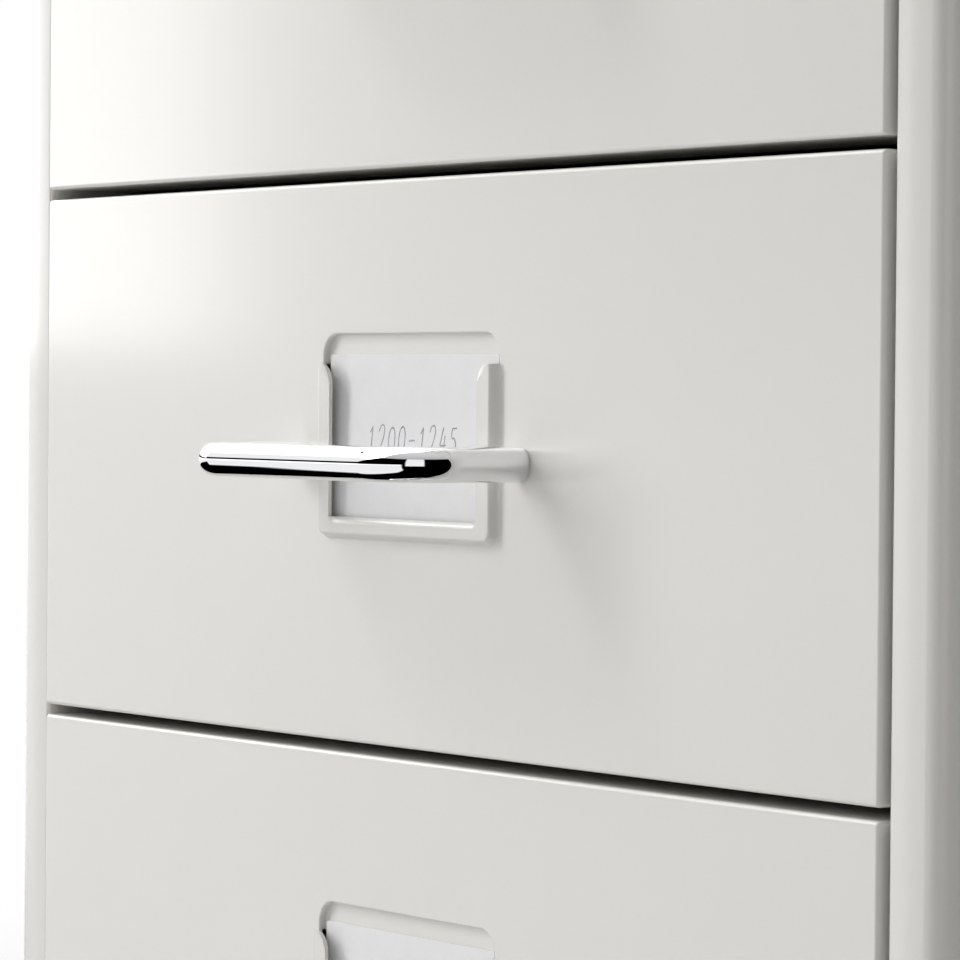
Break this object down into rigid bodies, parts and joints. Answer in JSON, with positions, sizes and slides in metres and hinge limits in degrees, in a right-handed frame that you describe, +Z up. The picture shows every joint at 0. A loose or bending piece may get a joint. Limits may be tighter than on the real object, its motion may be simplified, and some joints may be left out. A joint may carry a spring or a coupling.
{
  "type": "drawer cabinet",
  "caption": "Narrow sheet-steel drawer cabinet on swivel castors, with flush drawer fronts, bow handles and label pockets pressed into the fronts.",
  "frame": {"origin": "middle of the footprint, on the floor under the castors", "axes": "+Z up, the drawer fronts face -Y and the drawers pull out along -Y, +X is the cabinet's right-hand side seen from the front"},
  "size_m": [0.28, 0.43, 0.69],
  "materials": {
    "cabinet_paint": "off-white powder coat, half gloss, finely dimpled",
    "tray_paint": "off-white paint, thinner than on the fronts",
    "handle_chrome": "bright chrome plate",
    "card_paper": "uncoated paper card",
    "screw_steel": "zinc plated",
    "runner_steel": "zinc plated",
    "castor_steel": "zinc plated",
    "wheel_rubber": "dark moulded tread"
  },
  "bodies": {
    "cabinet": {"side_panel_left": "cabinet_paint", "side_panel_right": "cabinet_paint", "top_panel": "cabinet_paint", "bottom_panel": "cabinet_paint", "back_panel": "cabinet_paint", "back_screws": "screw_steel", "runners_left": "runner_steel", "runners_right": "runner_steel", "castor_stems": "castor_steel", "castor_nuts": "castor_steel"},
    "drawer_1": {"drawer_1_front": "cabinet_paint", "drawer_1_tray": "tray_paint", "drawer_1_handle": "handle_chrome", "drawer_1_label_card": "card_paper", "drawer_1_handle_screws": "screw_steel"},
    "drawer_2": {"drawer_2_front": "cabinet_paint", "drawer_2_tray": "tray_paint", "drawer_2_handle": "handle_chrome", "drawer_2_label_card": "card_paper", "drawer_2_handle_screws": "screw_steel"},
    "drawer_3": {"drawer_3_front": "cabinet_paint", "drawer_3_tray": "tray_paint", "drawer_3_handle": "handle_chrome", "drawer_3_label_card": "card_paper", "drawer_3_handle_screws": "screw_steel"},
    "drawer_4": {"drawer_4_front": "cabinet_paint", "drawer_4_tray": "tray_paint", "drawer_4_handle": "handle_chrome", "drawer_4_label_card": "card_paper", "drawer_4_handle_screws": "screw_steel"},
    "drawer_5": {"drawer_5_front": "cabinet_paint", "drawer_5_tray": "tray_paint", "drawer_5_handle": "handle_chrome", "drawer_5_label_card": "card_paper", "drawer_5_handle_screws": "screw_steel"},
    "drawer_6": {"drawer_6_front": "cabinet_paint", "drawer_6_tray": "tray_paint", "drawer_6_handle": "handle_chrome", "drawer_6_label_card": "card_paper", "drawer_6_handle_screws": "screw_steel"},
    "castor_front_left_fork": {"castor_front_left_fork": "castor_steel", "castor_front_left_axle": "castor_steel"},
    "castor_front_left_wheel": {"castor_front_left_wheel": "wheel_rubber"},
    "castor_front_right_fork": {"castor_front_right_fork": "castor_steel", "castor_front_right_axle": "castor_steel"},
    "castor_front_right_wheel": {"castor_front_right_wheel": "wheel_rubber"},
    "castor_rear_left_fork": {"castor_rear_left_fork": "castor_steel", "castor_rear_left_axle": "castor_steel"},
    "castor_rear_left_wheel": {"castor_rear_left_wheel": "wheel_rubber"},
    "castor_rear_right_fork": {"castor_rear_right_fork": "castor_steel", "castor_rear_right_axle": "castor_steel"},
    "castor_rear_right_wheel": {"castor_rear_right_wheel": "wheel_rubber"}
  },
  "joints": [
    {"name": "drawer_1_slide", "type": "slide", "parent": "cabinet", "child": "drawer_1", "axis": [0, -1, 0], "range_m": [0, 0.28]},
    {"name": "drawer_2_slide", "type": "slide", "parent": "cabinet", "child": "drawer_2", "axis": [0, -1, 0], "range_m": [0, 0.28]},
    {"name": "drawer_3_slide", "type": "slide", "parent": "cabinet", "child": "drawer_3", "axis": [0, -1, 0], "range_m": [0, 0.28]},
    {"name": "drawer_4_slide", "type": "slide", "parent": "cabinet", "child": "drawer_4", "axis": [0, -1, 0], "range_m": [0, 0.28]},
    {"name": "drawer_5_slide", "type": "slide", "parent": "cabinet", "child": "drawer_5", "axis": [0, -1, 0], "range_m": [0, 0.28]},
    {"name": "drawer_6_slide", "type": "slide", "parent": "cabinet", "child": "drawer_6", "axis": [0, -1, 0], "range_m": [0, 0.28]},
    {"name": "castor_front_left_swivel", "type": "hinge", "parent": "cabinet", "child": "castor_front_left_fork", "pos_m": [-0.112, -0.1498, 0.05], "axis": [0, 0, 1], "continuous": true},
    {"name": "castor_front_left_spin", "type": "hinge", "parent": "castor_front_left_fork", "child": "castor_front_left_wheel", "pos_m": [-0.112, -0.1318, 0.02], "axis": [1, 0, 0], "continuous": true},
    {"name": "castor_front_right_swivel", "type": "hinge", "parent": "cabinet", "child": "castor_front_right_fork", "pos_m": [0.112, -0.1498, 0.05], "axis": [0, 0, 1], "continuous": true},
    {"name": "castor_front_right_spin", "type": "hinge", "parent": "castor_front_right_fork", "child": "castor_front_right_wheel", "pos_m": [0.112, -0.1318, 0.02], "axis": [1, 0, 0], "continuous": true},
    {"name": "castor_rear_left_swivel", "type": "hinge", "parent": "cabinet", "child": "castor_rear_left_fork", "pos_m": [-0.112, 0.1692, 0.05], "axis": [0, 0, 1], "continuous": true},
    {"name": "castor_rear_left_spin", "type": "hinge", "parent": "castor_rear_left_fork", "child": "castor_rear_left_wheel", "pos_m": [-0.112, 0.1872, 0.02], "axis": [1, 0, 0], "continuous": true},
    {"name": "castor_rear_right_swivel", "type": "hinge", "parent": "cabinet", "child": "castor_rear_right_fork", "pos_m": [0.112, 0.1692, 0.05], "axis": [0, 0, 1], "continuous": true},
    {"name": "castor_rear_right_spin", "type": "hinge", "parent": "castor_rear_right_fork", "child": "castor_rear_right_wheel", "pos_m": [0.112, 0.1872, 0.02], "axis": [1, 0, 0], "continuous": true}
  ]
}
